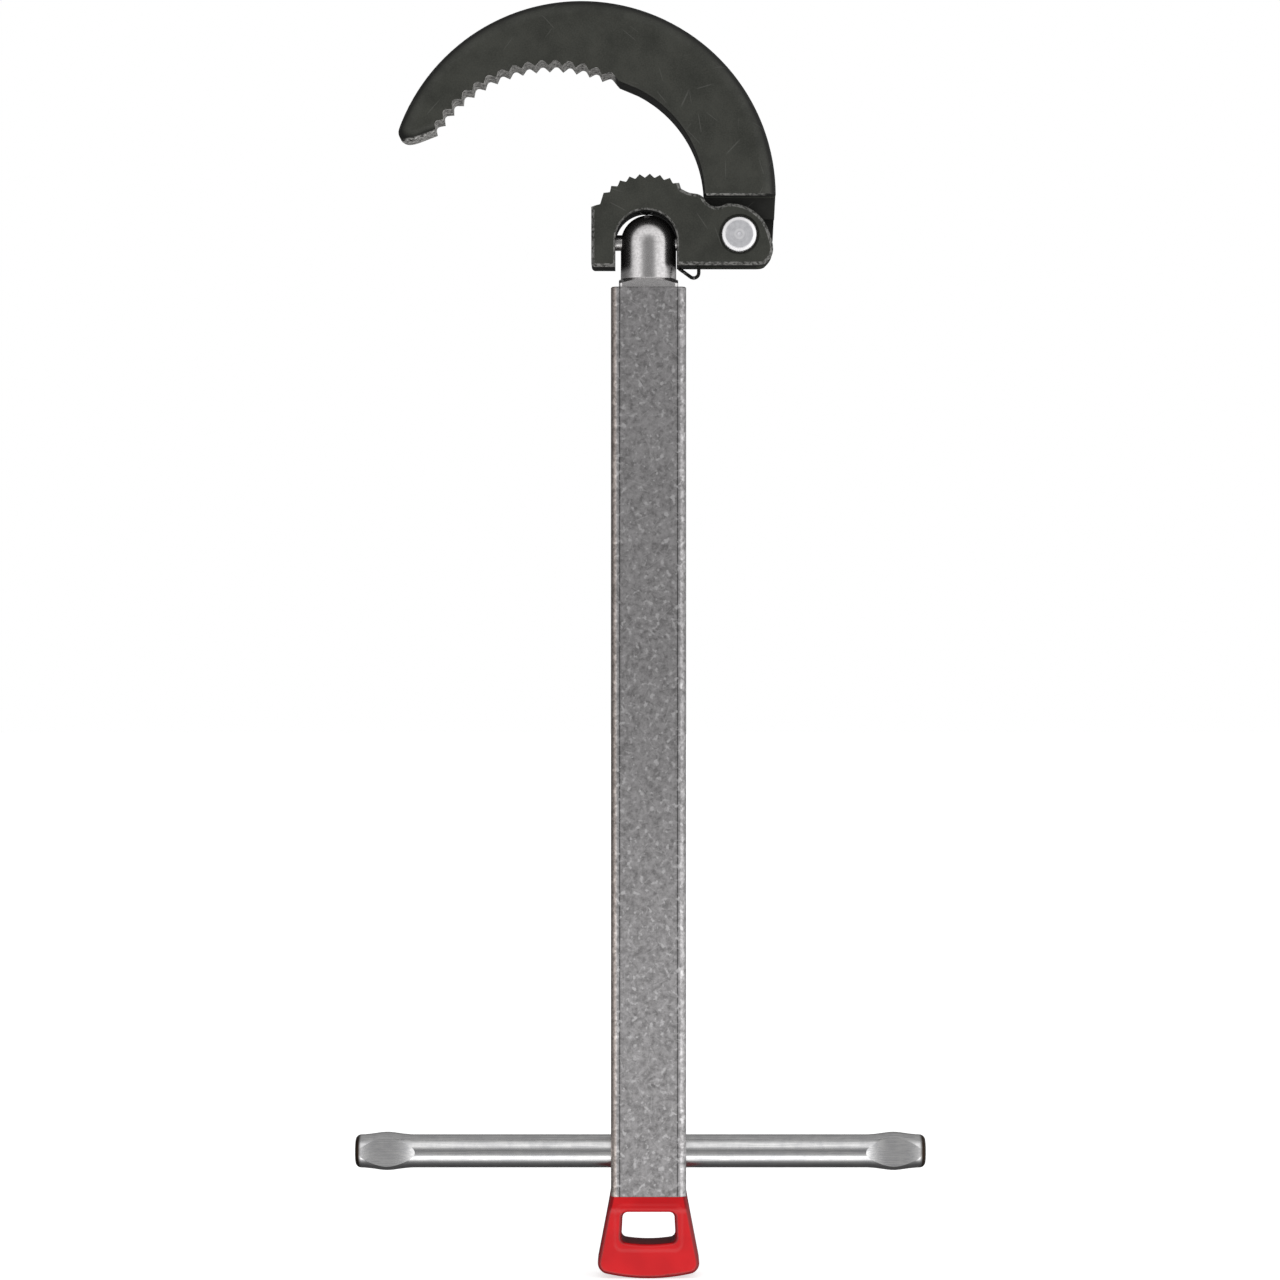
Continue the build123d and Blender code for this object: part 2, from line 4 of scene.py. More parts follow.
import bpy
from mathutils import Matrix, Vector


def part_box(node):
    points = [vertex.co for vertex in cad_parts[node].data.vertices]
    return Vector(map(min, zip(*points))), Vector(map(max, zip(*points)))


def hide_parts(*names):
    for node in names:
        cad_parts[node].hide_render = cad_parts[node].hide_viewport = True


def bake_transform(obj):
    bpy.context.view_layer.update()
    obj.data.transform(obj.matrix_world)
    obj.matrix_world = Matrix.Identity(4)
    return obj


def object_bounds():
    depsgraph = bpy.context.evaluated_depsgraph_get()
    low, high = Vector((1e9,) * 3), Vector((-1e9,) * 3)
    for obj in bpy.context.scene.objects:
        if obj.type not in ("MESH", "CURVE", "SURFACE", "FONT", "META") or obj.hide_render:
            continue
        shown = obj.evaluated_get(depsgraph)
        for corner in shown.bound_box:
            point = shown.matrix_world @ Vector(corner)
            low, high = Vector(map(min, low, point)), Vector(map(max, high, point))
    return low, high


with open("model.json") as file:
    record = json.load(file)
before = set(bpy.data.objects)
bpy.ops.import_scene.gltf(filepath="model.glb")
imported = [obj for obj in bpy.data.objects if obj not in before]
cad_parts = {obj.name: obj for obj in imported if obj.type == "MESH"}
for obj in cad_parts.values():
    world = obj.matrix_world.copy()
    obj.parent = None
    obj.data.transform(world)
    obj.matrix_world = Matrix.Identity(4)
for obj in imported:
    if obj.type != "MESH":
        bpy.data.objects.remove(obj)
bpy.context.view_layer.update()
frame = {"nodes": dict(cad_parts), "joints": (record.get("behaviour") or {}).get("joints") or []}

MM = 0.001

# ---- Camera ----
CAMERA_PLACE = Vector((-2.16, -1040.0, 130.0)) * MM
CAMERA_FIELD = math.radians(17.8)
CAMERA_RANGE = (0.01, 50.0)

# ---- Studio: soft light by the angle from the tool's front, in degrees, as a share of the peak ----
LIGHT_PEAK = 1.5
LIGHT_BY_ANGLE = (
    (0, 0.22),
    (14, 0.2),
    (24, 0.3),
    (36, 0.9),
    (46, 1.0),
    (58, 0.85),
    (72, 0.5),
    (88, 0.24),
    (110, 0.13),
    (180, 0.13),
)
FACE_LIGHT_BELOW = 1.4  # share of the light in front of the tool, below the level
FACE_LIGHT_ABOVE = 0.86  # and above it
FLOOR_SHADE = 0.45  # share of the light at the sides and behind, below the level
TOP_LIGHT = 0.22  # overhead, behind the tool's front
SIDE_LIGHT = 0.6  # at the tool's right

# ---- Where that light changes. A pair is where the change begins and ends ----
FACE_LEVEL = (-0.2, 0.15)  # the part of its direction along Z
SIDE_LEVEL = (-0.6, -0.1)
TOP_LEVEL = (0.25, 0.8)
RIGHT_REACH = (0.35, 0.95)  # the part of its direction along X
FACE_TO_SIDE = (45.0, 75.0)  # the angle from the tool's front, in degrees
TOP_FROM = (80.0, 100.0)
RIGHT_FROM = (50.0, 70.0)

# ---- Floor ----
FLOOR_HALF = 6.0
FLOOR_GLOW = 0.62

# ---- Places on the tool where a finish, painted light or painted shade changes. A pair is where the change begins and ends ----
TUBE_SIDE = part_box("handle_tube")[1].x
TUBE_SHADE_LINE = (TUBE_SIDE - 2.35 * MM, TUBE_SIDE - 2.05 * MM)  # the two edges of the painted shade line, from the tube's axis
TUBE_LEFT = (-TUBE_SIDE + 0.9 * MM, -TUBE_SIDE + 1.7 * MM)  # along X
TUBE_PAINTED_LIGHT = (40.0 * MM, 120.0 * MM)  # along Z, where painted light makes the tube lighter towards its foot
POST_FOOT = (221.3 * MM, 221.6 * MM)  # along Z
T_BAR_LOW, T_BAR_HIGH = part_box("t_bar")
T_BAR_MIDDLE = (T_BAR_LOW.x + T_BAR_HIGH.x) / 2
T_BAR_HALF = (T_BAR_HIGH.x - T_BAR_LOW.x) / 2
T_BAR_CUT = (T_BAR_HALF - 1.5 * MM, T_BAR_HALF - 0.6 * MM)  # out from its middle
HOOK_TEETH_CENTRE = Vector((-24.5, 0.0, 241.1)) * MM
HOOK_TEETH_REACH = (36.2 * MM, 36.6 * MM)  # out from that centre
HOOK_TEETH_END = (-9.0 * MM, -8.0 * MM)  # along X
HOOK_TIP = (-50.0 * MM, -49.0 * MM)  # along X
HOOK_ROOT = (0.0, 1.0 * MM)  # along X
HOOK_ROOT_BEVEL = (12.0 * MM, 32.0 * MM)  # along X
HOOK_ROOT_TOP = (243.0 * MM, 243.2 * MM)  # along Z
HOOK_TANG_SHADE_TOP = (242.0 * MM, 242.4 * MM)  # along Z, where the tang's painted shade begins
BLOCK_FOOT = (222.5 * MM, 226.5 * MM)  # along Z
PIVOT = next(Vector(joint["pos_m"]) for joint in frame["joints"] if joint["name"] == "hook_pivot")
RIVET_LOW, RIVET_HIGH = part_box("jaw_rivet")
RIVET_RADIUS = (RIVET_HIGH.x - RIVET_LOW.x) / 2
RIVET_RIM = (RIVET_RADIUS - 1.1 * MM, RIVET_RADIUS - 0.6 * MM)
RIVET_RING = (0.9 * MM, 1.3 * MM)  # the two edges of the painted highlight ring
CAP_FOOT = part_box("end_cap")[0].z
CAP_HOLE_CENTRE = Vector((0.0, 0.0, CAP_FOOT + 13.0 * MM))
CAP_HOLE_HALF = Vector((6.5, 100.0, 3.9)) * MM  # deeper than the cap, as the hole goes through
CAP_UNDERSIDE = (CAP_FOOT + 5.6 * MM, CAP_FOOT + 7.6 * MM)  # along Z
CAP_BEAD = (1.3 * MM, 2.6 * MM)  # out from the hole's edge

# ---- Ways a surface faces where its finish, its painted shade or its painted highlight changes, as its normal's part along an axis ----
BEVEL = (0.66, 0.76)  # from and to, along Y
BEVEL_SOFT = 0.03
TOOTH_FLANK = (0.3, 0.6)  # along Y
FORGED_FACE = (0.55, 0.88)  # along Y
CAP_FACE = (0.1, 0.5)  # along Y
CAP_EDGES = (0.05, 0.5)  # along X, or down along Z
TIP_END = (-0.9, -0.7)  # along Z

# ---- Colours ----
WHITE = (1.0, 1.0, 1.0, 1.0)
FLOOR_GREY = (0.85, 0.85, 0.85, 1.0)
TUBE_DARK = (0.17, 0.165, 0.166, 1.0)
TUBE_LIGHT = (0.44, 0.428, 0.433, 1.0)
# painted shade: the dark line by each of the tube's corners
TUBE_CORNER_SHADE = (0.05, 0.049, 0.049, 1.0)
TUBE_MARK = (0.66, 0.65, 0.655, 1.0)
TUBE_WARMTH = (1.0, 0.89, 0.81, 1.0)
BAR_DARK = (0.43, 0.419, 0.419, 1.0)
BAR_LIGHT = (0.64, 0.624, 0.624, 1.0)
BAR_MARK = (0.7, 0.69, 0.69, 1.0)
T_BAR_DARK = (0.5, 0.5, 0.51, 1.0)
T_BAR_LIGHT = (0.72, 0.715, 0.71, 1.0)
T_BAR_BROWN = (0.035, 0.023, 0.016, 1.0)
COAT_DARK = (0.016, 0.017, 0.013, 1.0)
COAT_LIGHT = (0.04, 0.041, 0.034, 1.0)
# painted shade for the jaws' sides that face away from the front
COAT_SIDE_SHADE = (0.006, 0.006, 0.005, 1.0)
COAT_MARK = (0.16, 0.16, 0.15, 1.0)
# bare steel from wear, also used as a painted highlight on bevelled edges
BARE_AND_HIGHLIT_DARK = (0.05, 0.049, 0.045, 1.0)
BARE_AND_HIGHLIT_LIGHT = (0.6, 0.59, 0.57, 1.0)
RIVET_DARK = (0.48, 0.48, 0.5, 1.0)
RIVET_LIGHT = (0.64, 0.64, 0.66, 1.0)
# painted highlight for the rivet's rim and ring
RIVET_HIGHLIGHT = (0.95, 0.94, 0.95, 1.0)
CAP_DARK = (0.54, 0.006, 0.01, 1.0)
CAP_LIGHT = (0.66, 0.009, 0.013, 1.0)
# painted shade for the cap's outer edges, underside and sides
CAP_EDGE_SHADE = (0.24, 0.002, 0.005, 1.0)
CAP_SIDE_SHADE = (0.14, 0.001, 0.004, 1.0)
SMALL_PART_MARK = (0.85, 0.85, 0.85, 1.0)

# ---- Lock spring and detent spring ----
LOCK_TURNS = 5
LOCK_WIRE = 0.6 * MM
DETENT_TURNS = 3
DETENT_WIRE = 0.4 * MM
COMPRESSION_STEPS = 24  # points in one turn

# ---- Jaw spring: a coil round the pivot, a leg that drops under the block and a leg on the tang ----
JAW_WIRE_RADIUS = 0.45 * MM
COIL_RADIUS = 3.4 * MM
COIL_TURNS = 2
COIL_PITCH = 0.95 * MM
COIL_STEPS = 40  # points in one turn
COIL_CENTRE = PIVOT + Vector((0.0, -2.55, 0.0)) * MM
COIL_START = COIL_CENTRE + Vector((0.0, 0.0, COIL_RADIUS))
DROP_LEG = ((7.7, -3.004, 224.25), (12.75, -3.004, 220.6), (12.75, -3.004, 236.0))  # in millimetres
DROP_LEG_BENDS = (1.3 * MM, 1.5 * MM)
BEND_STEPS = 12
PUSH_LEG_LENGTH = 6.5 * MM
WIRE_SIDES = 12


# ---- Node helpers ----
def add(tree, kind, inputs=None, **settings):
    """Adds a node. Each input is a number, a colour, a vector or another node's output."""
    node = tree.nodes.new(kind)
    for key, value in settings.items():
        setattr(node, key, value)
    for key, value in (inputs or {}).items():
        if isinstance(value, bpy.types.NodeSocket):
            tree.links.new(value, node.inputs[key])
        else:
            node.inputs[key].default_value = value
    return node


def calc(tree, operation, *values):
    """The output of one Math node."""
    return add(tree, "ShaderNodeMath", dict(enumerate(values)), operation=operation).outputs[0]


def product(tree, first, *others):
    """The product of several numbers."""
    for other in others:
        first = calc(tree, "MULTIPLY", first, other)
    return first


def largest(tree, first, *others):
    """The largest of several numbers."""
    for other in others:
        first = calc(tree, "MAXIMUM", first, other)
    return first


def weighted(tree, first, first_weight, second, second_weight):
    """Two numbers added up by their weights."""
    return calc(tree, "ADD", product(tree, first, first_weight), product(tree, second, second_weight))


def vector_calc(tree, operation, *vectors):
    """The output of one Vector Math node: a number for a length or a dot product, otherwise a vector."""
    node = add(tree, "ShaderNodeVectorMath", dict(enumerate(vectors)), operation=operation)
    return node.outputs["Value" if operation in ("LENGTH", "DOT_PRODUCT") else "Vector"]


def scaled(tree, colour, factor):
    """A colour made lighter or darker by a factor."""
    inputs = {"Vector": colour, "Scale": factor}
    return add(tree, "ShaderNodeVectorMath", inputs, operation="SCALE").outputs["Vector"]


def axes(tree, vector):
    """The three parts of a vector."""
    return add(tree, "ShaderNodeSeparateXYZ", {"Vector": vector}).outputs[:]


def object_normal(tree):
    """The surface's normal in the object's own axes."""
    return add(tree, "ShaderNodeTexCoord").outputs["Normal"]


def reach_from(tree, place, centre):
    """The distance from the line along Y through a point."""
    offset = vector_calc(tree, "SUBTRACT", place, centre)
    return vector_calc(tree, "LENGTH", vector_calc(tree, "MULTIPLY", offset, (1.0, 0.0, 1.0)))


def fade(tree, value, low, high, at_low=0.0, at_high=1.0):
    """A smooth step: at_low where value is at or below low, at_high where it is at or above high."""
    inputs = {"Value": value, "From Min": low, "From Max": high, "To Min": at_low, "To Max": at_high}
    return add(tree, "ShaderNodeMapRange", inputs, interpolation_type="SMOOTHSTEP").outputs["Result"]


def band(tree, value, low, high, soft):
    """1 where value is between low and high, with soft ends."""
    above = fade(tree, value, low - soft, low + soft)
    below = fade(tree, value, high - soft, high + soft, 1.0, 0.0)
    return product(tree, above, below)


def noise(tree, place, scale, detail=2.0, roughness=0.5):
    """Smooth noise from 0 to 1. Scale is in cycles per metre."""
    inputs = {"Vector": place, "Scale": scale, "Detail": detail, "Roughness": roughness}
    return add(tree, "ShaderNodeTexNoise", inputs).outputs["Fac"]


def spread(tree, pattern, at_low=0.0, at_high=1.0):
    """A noise, which mostly stays between 0.3 and 0.7, spread out from at_low to at_high."""
    return fade(tree, pattern, 0.3, 0.7, at_low, at_high)


def stretched(tree, place, factors):
    """The place with its axes scaled, which stretches a pattern along the axes with small factors."""
    return vector_calc(tree, "MULTIPLY", place, factors)


def scratches(tree, place, cell, width, reach):
    """Short straight scratches in all directions, one in each cell of a pattern: 1 on them, 0 off them."""
    cells = add(tree, "ShaderNodeTexVoronoi", {"Vector": place, "Scale": 1 / cell})
    offset = vector_calc(tree, "SUBTRACT", place, cells.outputs["Position"])
    centred = vector_calc(tree, "SUBTRACT", cells.outputs["Color"], (0.5, 0.5, 0.5))
    across = vector_calc(tree, "NORMALIZE", centred)
    distance = calc(tree, "ABSOLUTE", vector_calc(tree, "DOT_PRODUCT", offset, across))
    line = fade(tree, distance, 0.3 * width, width, 1.0, 0.0)
    end = fade(tree, vector_calc(tree, "LENGTH", offset), 0.5 * reach, reach, 1.0, 0.0)
    return product(tree, line, end)


def mix(tree, share, first, second, blend_type="MIX"):
    """A colour between two colours, or the two blended."""
    node = add(tree, "ShaderNodeMix", data_type="RGBA", blend_type=blend_type)
    for key, value in (("Factor_Float", share), ("A_Color", first), ("B_Color", second)):
        socket = next(s for s in node.inputs if s.identifier == key)
        if isinstance(value, bpy.types.NodeSocket):
            tree.links.new(value, socket)
        else:
            socket.default_value = value
    return next(s for s in node.outputs if s.identifier == "Result_Color")


def bump(tree, height, distance, strength=1.0, onto=None):
    """A normal from a height, on the plain surface or on another bump. Distance is in metres."""
    inputs = {"Height": height, "Distance": distance, "Strength": strength}
    if onto is not None:
        inputs["Normal"] = onto
    return add(tree, "ShaderNodeBump", inputs).outputs["Normal"]


def material(name, **values):
    """A new material: itself, its node tree, its shader and the object's own coordinates.
    Values go to the shader's sockets, with _ for a space."""
    new = bpy.data.materials.new(name)
    new.use_nodes = True
    shader = new.node_tree.nodes["Principled BSDF"]
    for key, value in values.items():
        shader.inputs[key.replace("_", " ")].default_value = value
    place = add(new.node_tree, "ShaderNodeTexCoord").outputs["Object"]
    return new, new.node_tree, shader, place


def join(tree, shader, **outputs):
    """Links outputs to the shader's sockets by name, with _ for a space."""
    for key, output in outputs.items():
        tree.links.new(output, shader.inputs[key.replace("_", " ")])


def dress(node, new):
    """Gives a CAD node its material."""
    mesh = frame["nodes"][node].data
    mesh.materials.clear()
    mesh.materials.append(new)


# ---- Materials ----
def plated_tube():
    """Dull nickel plate on drawn steel: a fine mottled grain, short scratches and a painted shade line by
    each corner.
    It is a little brown down its left side, and painted light makes it lighter towards its foot."""
    new, tree, shader, place = material("tube_plate", Metallic=1.0)
    grain = noise(tree, place, 1300.0, detail=3.0, roughness=0.6)
    cloud = noise(tree, place, 600.0, detail=3.0, roughness=0.6)
    spots = fade(tree, noise(tree, place, 720.0), 0.56, 0.7)
    fine = scratches(tree, place, cell=2.1 * MM, width=0.22 * MM, reach=1.0 * MM)
    coarse = scratches(tree, place, cell=5.2 * MM, width=0.12 * MM, reach=3.4 * MM)
    lines = product(tree, largest(tree, fine, coarse), 0.35)
    marks = largest(tree, product(tree, spots, 0.95), lines)
    mottled = weighted(tree, grain, 0.45, cloud, 0.55)
    base = mix(tree, spread(tree, mottled), TUBE_DARK, TUBE_LIGHT)
    x, y, z = axes(tree, place)
    from_axis = calc(tree, "MINIMUM", calc(tree, "ABSOLUTE", x), calc(tree, "ABSOLUTE", y))
    # painted shade: a dark line where each flat face turns into its rounded corner
    drawn = band(tree, from_axis, *TUBE_SHADE_LINE, 0.1 * MM)
    corner_shaded = mix(tree, product(tree, drawn, 0.8), base, TUBE_CORNER_SHADE)
    marked = mix(tree, product(tree, marks, 0.6), corner_shaded, TUBE_MARK)
    warm = mix(tree, fade(tree, x, *TUBE_LEFT, 0.9, 0.0), marked, TUBE_WARMTH, "MULTIPLY")
    # painted light: the tube is coloured lighter towards its foot
    colour = scaled(tree, warm, fade(tree, z, *TUBE_PAINTED_LIGHT, 1.32, 1.0))
    roughness = spread(tree, mottled, 0.46, 0.36)
    height = weighted(tree, grain, 0.5, marks, -0.5)
    join(tree, shader, Base_Color=colour, Roughness=roughness, Normal=bump(tree, height, 0.02 * MM, 0.5))
    return new


def plated_bar():
    """The same plate on the bar, brighter, with fine turning marks round the post and its dome.
    The post is darker than the square bar below it."""
    new, tree, shader, place = material("bar_plate", Metallic=1.0)
    grain = noise(tree, place, 1700.0, detail=3.0, roughness=0.6)
    turning = noise(tree, stretched(tree, place, (0.12, 0.12, 1.0)), 5200.0)
    marks = scratches(tree, place, cell=3.0 * MM, width=0.1 * MM, reach=1.8 * MM)
    mottled = weighted(tree, grain, 0.65, turning, 0.35)
    base = mix(tree, spread(tree, mottled), BAR_DARK, BAR_LIGHT)
    marked = mix(tree, product(tree, marks, 0.4), base, BAR_MARK)
    colour = scaled(tree, marked, fade(tree, axes(tree, place)[2], *POST_FOOT, 1.2, 1.0))
    roughness = spread(tree, mottled, 0.31, 0.25)
    join(tree, shader, Base_Color=colour, Roughness=roughness, Normal=bump(tree, mottled, 0.01 * MM, 0.25))
    return new


def bright_bar():
    """Bright nickel plate on the T-bar, with fine lines along it and brown cut ends."""
    new, tree, shader, place = material("t_bar_plate", Metallic=1.0)
    lines = noise(tree, stretched(tree, place, (0.03, 1.0, 1.0)), 3400.0)
    cloud = noise(tree, place, 420.0, detail=3.0, roughness=0.6)
    streaks = weighted(tree, lines, 0.6, cloud, 0.4)
    plate = mix(tree, spread(tree, streaks), T_BAR_DARK, T_BAR_LIGHT)
    from_middle = calc(tree, "ABSOLUTE", calc(tree, "SUBTRACT", axes(tree, place)[0], T_BAR_MIDDLE))
    ragged = calc(tree, "ADD", from_middle, product(tree, cloud, 0.4 * MM))
    cut = fade(tree, ragged, *T_BAR_CUT)
    colour = mix(tree, cut, plate, T_BAR_BROWN)
    roughness = calc(tree, "ADD", spread(tree, streaks, 0.24, 0.15), product(tree, cut, 0.25))
    join(tree, shader, Base_Color=colour, Roughness=roughness, Normal=bump(tree, streaks, 0.008 * MM, 0.5))
    return new


def hook_wear_and_painted_light(tree, place, normal):
    """Where the hook's steel looks bare, and how much of the coat's full tone it keeps under painted shade.
    Its teeth's flanks and its tip's end face are bare from wear, and its root's bevelled edge is partly
    bare and partly a painted highlight. Its tang is darkened with painted shade, as it sits in shadow under
    the root."""
    x, _, z = axes(tree, place)
    _, normal_y, normal_z = axes(tree, normal)
    lean = calc(tree, "ABSOLUTE", normal_y)
    on_teeth = fade(tree, reach_from(tree, place, HOOK_TEETH_CENTRE), *HOOK_TEETH_REACH, 1.0, 0.0)
    flank = fade(tree, lean, *TOOTH_FLANK, 1.0, 0.0)
    teeth = product(tree, on_teeth, flank, fade(tree, x, *HOOK_TEETH_END, 1.0, 0.0))
    facing_down = fade(tree, normal_z, *TIP_END, 1.0, 0.0)
    tip = product(tree, facing_down, fade(tree, x, *HOOK_TIP, 1.0, 0.0))
    at_root = product(tree, fade(tree, x, *HOOK_ROOT), fade(tree, z, *HOOK_ROOT_TOP, 1.0, 0.0))
    # wear and a painted highlight on the root's bevelled edge, fading along X
    wear_and_highlight = fade(tree, x, *HOOK_ROOT_BEVEL, 0.5, 0.2)
    bevel_wear_and_highlight = product(tree, band(tree, lean, *BEVEL, BEVEL_SOFT), at_root, wear_and_highlight)
    # painted shade: below the tang's top the coat keeps a tenth of its tone
    return largest(tree, teeth, tip, bevel_wear_and_highlight), fade(tree, z, *HOOK_TANG_SHADE_TOP, 0.1, 1.0)


def block_wear_and_painted_light(tree, place, normal):
    """Where the block's steel looks bare, and how much of the coat's full tone it keeps.
    Its bevelled edges are light, partly bare from wear and partly a painted highlight, most of all along
    its foot, which faces the light from below."""
    lean = calc(tree, "ABSOLUTE", axes(tree, normal)[1])
    # wear and a painted highlight on the bevelled edges, strongest along the foot
    wear_and_highlight = fade(tree, axes(tree, place)[2], *BLOCK_FOOT, 0.55, 0.3)
    return product(tree, band(tree, lean, *BEVEL, BEVEL_SOFT), wear_and_highlight), 1.0


def forged_jaw(name, finish):
    """Black phosphate over forged steel: matt and finely pitted, with painted shade on its sides, and light
    where it is bare from wear and where a highlight is painted on its bevelled edges.
    """
    new, tree, shader, place = material(name, Metallic=0.0, Specular_IOR_Level=0.3)
    normal = object_normal(tree)
    bare_and_highlit, tone = finish(tree, place, normal)
    grain = noise(tree, place, 2600.0, detail=4.0, roughness=0.65)
    cloud = noise(tree, place, 130.0, detail=3.0, roughness=0.55)
    blotches = noise(tree, place, 1300.0, detail=3.0, roughness=0.6)
    marks = scratches(tree, place, cell=6.0 * MM, width=0.1 * MM, reach=3.0 * MM)
    mottled = weighted(tree, grain, 0.45, cloud, 0.55)
    coat = mix(tree, spread(tree, mottled), COAT_DARK, COAT_LIGHT)
    lean = calc(tree, "ABSOLUTE", axes(tree, normal)[1])
    # painted shade: faces turned from the front take the dark side colour, and the tang's painted shade is
    # laid on too
    front = product(tree, fade(tree, lean, *FORGED_FACE), tone)
    shaded = mix(tree, front, COAT_SIDE_SHADE, coat)
    scratched = mix(tree, product(tree, marks, 0.2), shaded, COAT_MARK)
    steel = mix(tree, fade(tree, blotches, 0.34, 0.66), BARE_AND_HIGHLIT_DARK, BARE_AND_HIGHLIT_LIGHT)
    # bare steel from wear, and painted highlights on bevelled edges
    bare = product(tree, bare_and_highlit, fade(tree, cloud, 0.3, 0.5, 0.7, 1.0))
    colour = mix(tree, bare, scratched, steel)
    side_roughness = fade(tree, front, 0.0, 1.0, 0.25, 0.0)
    roughness = calc(tree, "ADD", spread(tree, mottled, 0.56, 0.44), side_roughness)
    join(tree, shader, Base_Color=colour, Roughness=roughness, Normal=bump(tree, grain, 0.03 * MM, 0.6))
    return new


def rivet_head():
    """Satin nickel plate turned round the rivet's axis, with a painted highlight at the rim and in a soft
    ring.
    """
    new, tree, shader, place = material("rivet_plate", Metallic=1.0)
    reach = reach_from(tree, place, PIVOT)
    grain = noise(tree, place, 900.0)
    turned = noise(tree, add(tree, "ShaderNodeCombineXYZ", {"X": reach}).outputs[0], 1600.0)
    mottled = weighted(tree, grain, 0.5, turned, 0.5)
    plate = mix(tree, spread(tree, mottled), RIVET_DARK, RIVET_LIGHT)
    # painted highlight: the rim and a soft ring round the centre are coloured bright
    rim = fade(tree, reach, *RIVET_RIM)
    ring = product(tree, band(tree, reach, *RIVET_RING, 0.4 * MM), 0.35)
    colour = mix(tree, largest(tree, rim, ring), plate, RIVET_HIGHLIGHT)
    roughness = spread(tree, mottled, 0.58, 0.5)
    join(tree, shader, Base_Color=colour, Roughness=roughness, Normal=bump(tree, mottled, 0.01 * MM, 0.4))
    return new


def red_cap():
    """Glossy red moulding with a faint waviness and a low bead round its hole, with painted shade making it
    deeper red on its sides, its outer edges and its underside.
    """
    new, tree, shader, place = material("cap_plastic", Specular_IOR_Level=0.4)
    cloud = noise(tree, place, 90.0)
    grain = noise(tree, place, 2400.0)
    plain = mix(tree, spread(tree, cloud), CAP_DARK, CAP_LIGHT)
    # painted shade: outer edges, the underside and the sides are coloured darker red
    normal_x, normal_y, normal_z = axes(tree, object_normal(tree))
    downward = product(tree, normal_z, fade(tree, axes(tree, place)[2], *CAP_UNDERSIDE, -1.0, 0.0))
    outward = largest(tree, calc(tree, "ABSOLUTE", normal_x), downward)
    edge_shaded = mix(tree, fade(tree, outward, *CAP_EDGES), plain, CAP_EDGE_SHADE)
    front = fade(tree, calc(tree, "ABSOLUTE", normal_y), *CAP_FACE)
    colour = mix(tree, front, CAP_SIDE_SHADE, edge_shaded)
    from_centre = vector_calc(tree, "ABSOLUTE", vector_calc(tree, "SUBTRACT", place, CAP_HOLE_CENTRE))
    from_edge = vector_calc(tree, "SUBTRACT", from_centre, CAP_HOLE_HALF)
    outside = vector_calc(tree, "MAXIMUM", from_edge, (0.0, 0.0, 0.0))
    bead = fade(tree, vector_calc(tree, "LENGTH", outside), *CAP_BEAD, 1.0, 0.0)
    waves = calc(tree, "ADD", product(tree, grain, 0.2), cloud)
    relief = bump(tree, waves, 0.06 * MM, 0.4, onto=bump(tree, bead, 0.18 * MM))
    side_roughness = fade(tree, front, 0.0, 1.0, 0.35, 0.0)
    roughness = calc(tree, "ADD", spread(tree, grain, 0.3, 0.38), side_roughness)
    join(tree, shader, Base_Color=colour, Roughness=roughness, Normal=relief)
    return new


def satin_metal(name, dark, light, dark_roughness, light_roughness, grain_scale):
    """Plain satin metal for the small parts: fine grain, a few scratches."""
    new, tree, shader, place = material(name, Metallic=1.0)
    grain = noise(tree, place, grain_scale, detail=3.0, roughness=0.6)
    marks = scratches(tree, place, cell=1.6 * MM, width=0.06 * MM, reach=1.1 * MM)
    base = mix(tree, spread(tree, grain), (*dark, 1.0), (*light, 1.0))
    colour = mix(tree, product(tree, marks, 0.3), base, SMALL_PART_MARK)
    roughness = spread(tree, grain, dark_roughness, light_roughness)
    join(tree, shader, Base_Color=colour, Roughness=roughness, Normal=bump(tree, grain, 0.01 * MM, 0.5))
    return new


tube_plate = plated_tube()
bar_plate = plated_bar()
t_bar_plate = bright_bar()
hook_phosphate = forged_jaw("hook_phosphate", hook_wear_and_painted_light)
block_phosphate = forged_jaw("block_phosphate", block_wear_and_painted_light)
cap_plastic = red_cap()
rivet_plate = rivet_head()
pin_steel = satin_metal("pin_steel", (0.4, 0.39, 0.38), (0.62, 0.61, 0.6), 0.34, 0.24, 2600.0)
# painted shade: the detent ball is coloured nearly black for its place deep in its bore
shaded_ball_steel = satin_metal("shaded_ball_steel", (0.09, 0.09, 0.09), (0.2, 0.2, 0.2), 0.4, 0.3, 2600.0)
small_wire = satin_metal("small_wire", (0.36, 0.36, 0.37), (0.58, 0.58, 0.58), 0.4, 0.28, 3200.0)
button_plate = satin_metal("button_plate", (0.4, 0.4, 0.41), (0.6, 0.6, 0.6), 0.36, 0.26, 2200.0)
black_wire = satin_metal("black_wire", (0.008, 0.008, 0.008), (0.03, 0.03, 0.029), 0.5, 0.36, 3200.0)

DRESS = {
    "handle_tube": tube_plate,
    "end_cap": cap_plastic,
    "t_bar": t_bar_plate,
    "extension_bar": bar_plate,
    "lock_button": button_plate,
    "lock_spring": small_wire,
    "jaw_block": block_phosphate,
    "hook_jaw": hook_phosphate,
    "tilt_pin": pin_steel,
    "detent_ball": shaded_ball_steel,
    "detent_spring": small_wire,
    "jaw_rivet": rivet_plate,
    "jaw_spring": black_wire,
}
for node_name, finish in DRESS.items():
    dress(node_name, finish)


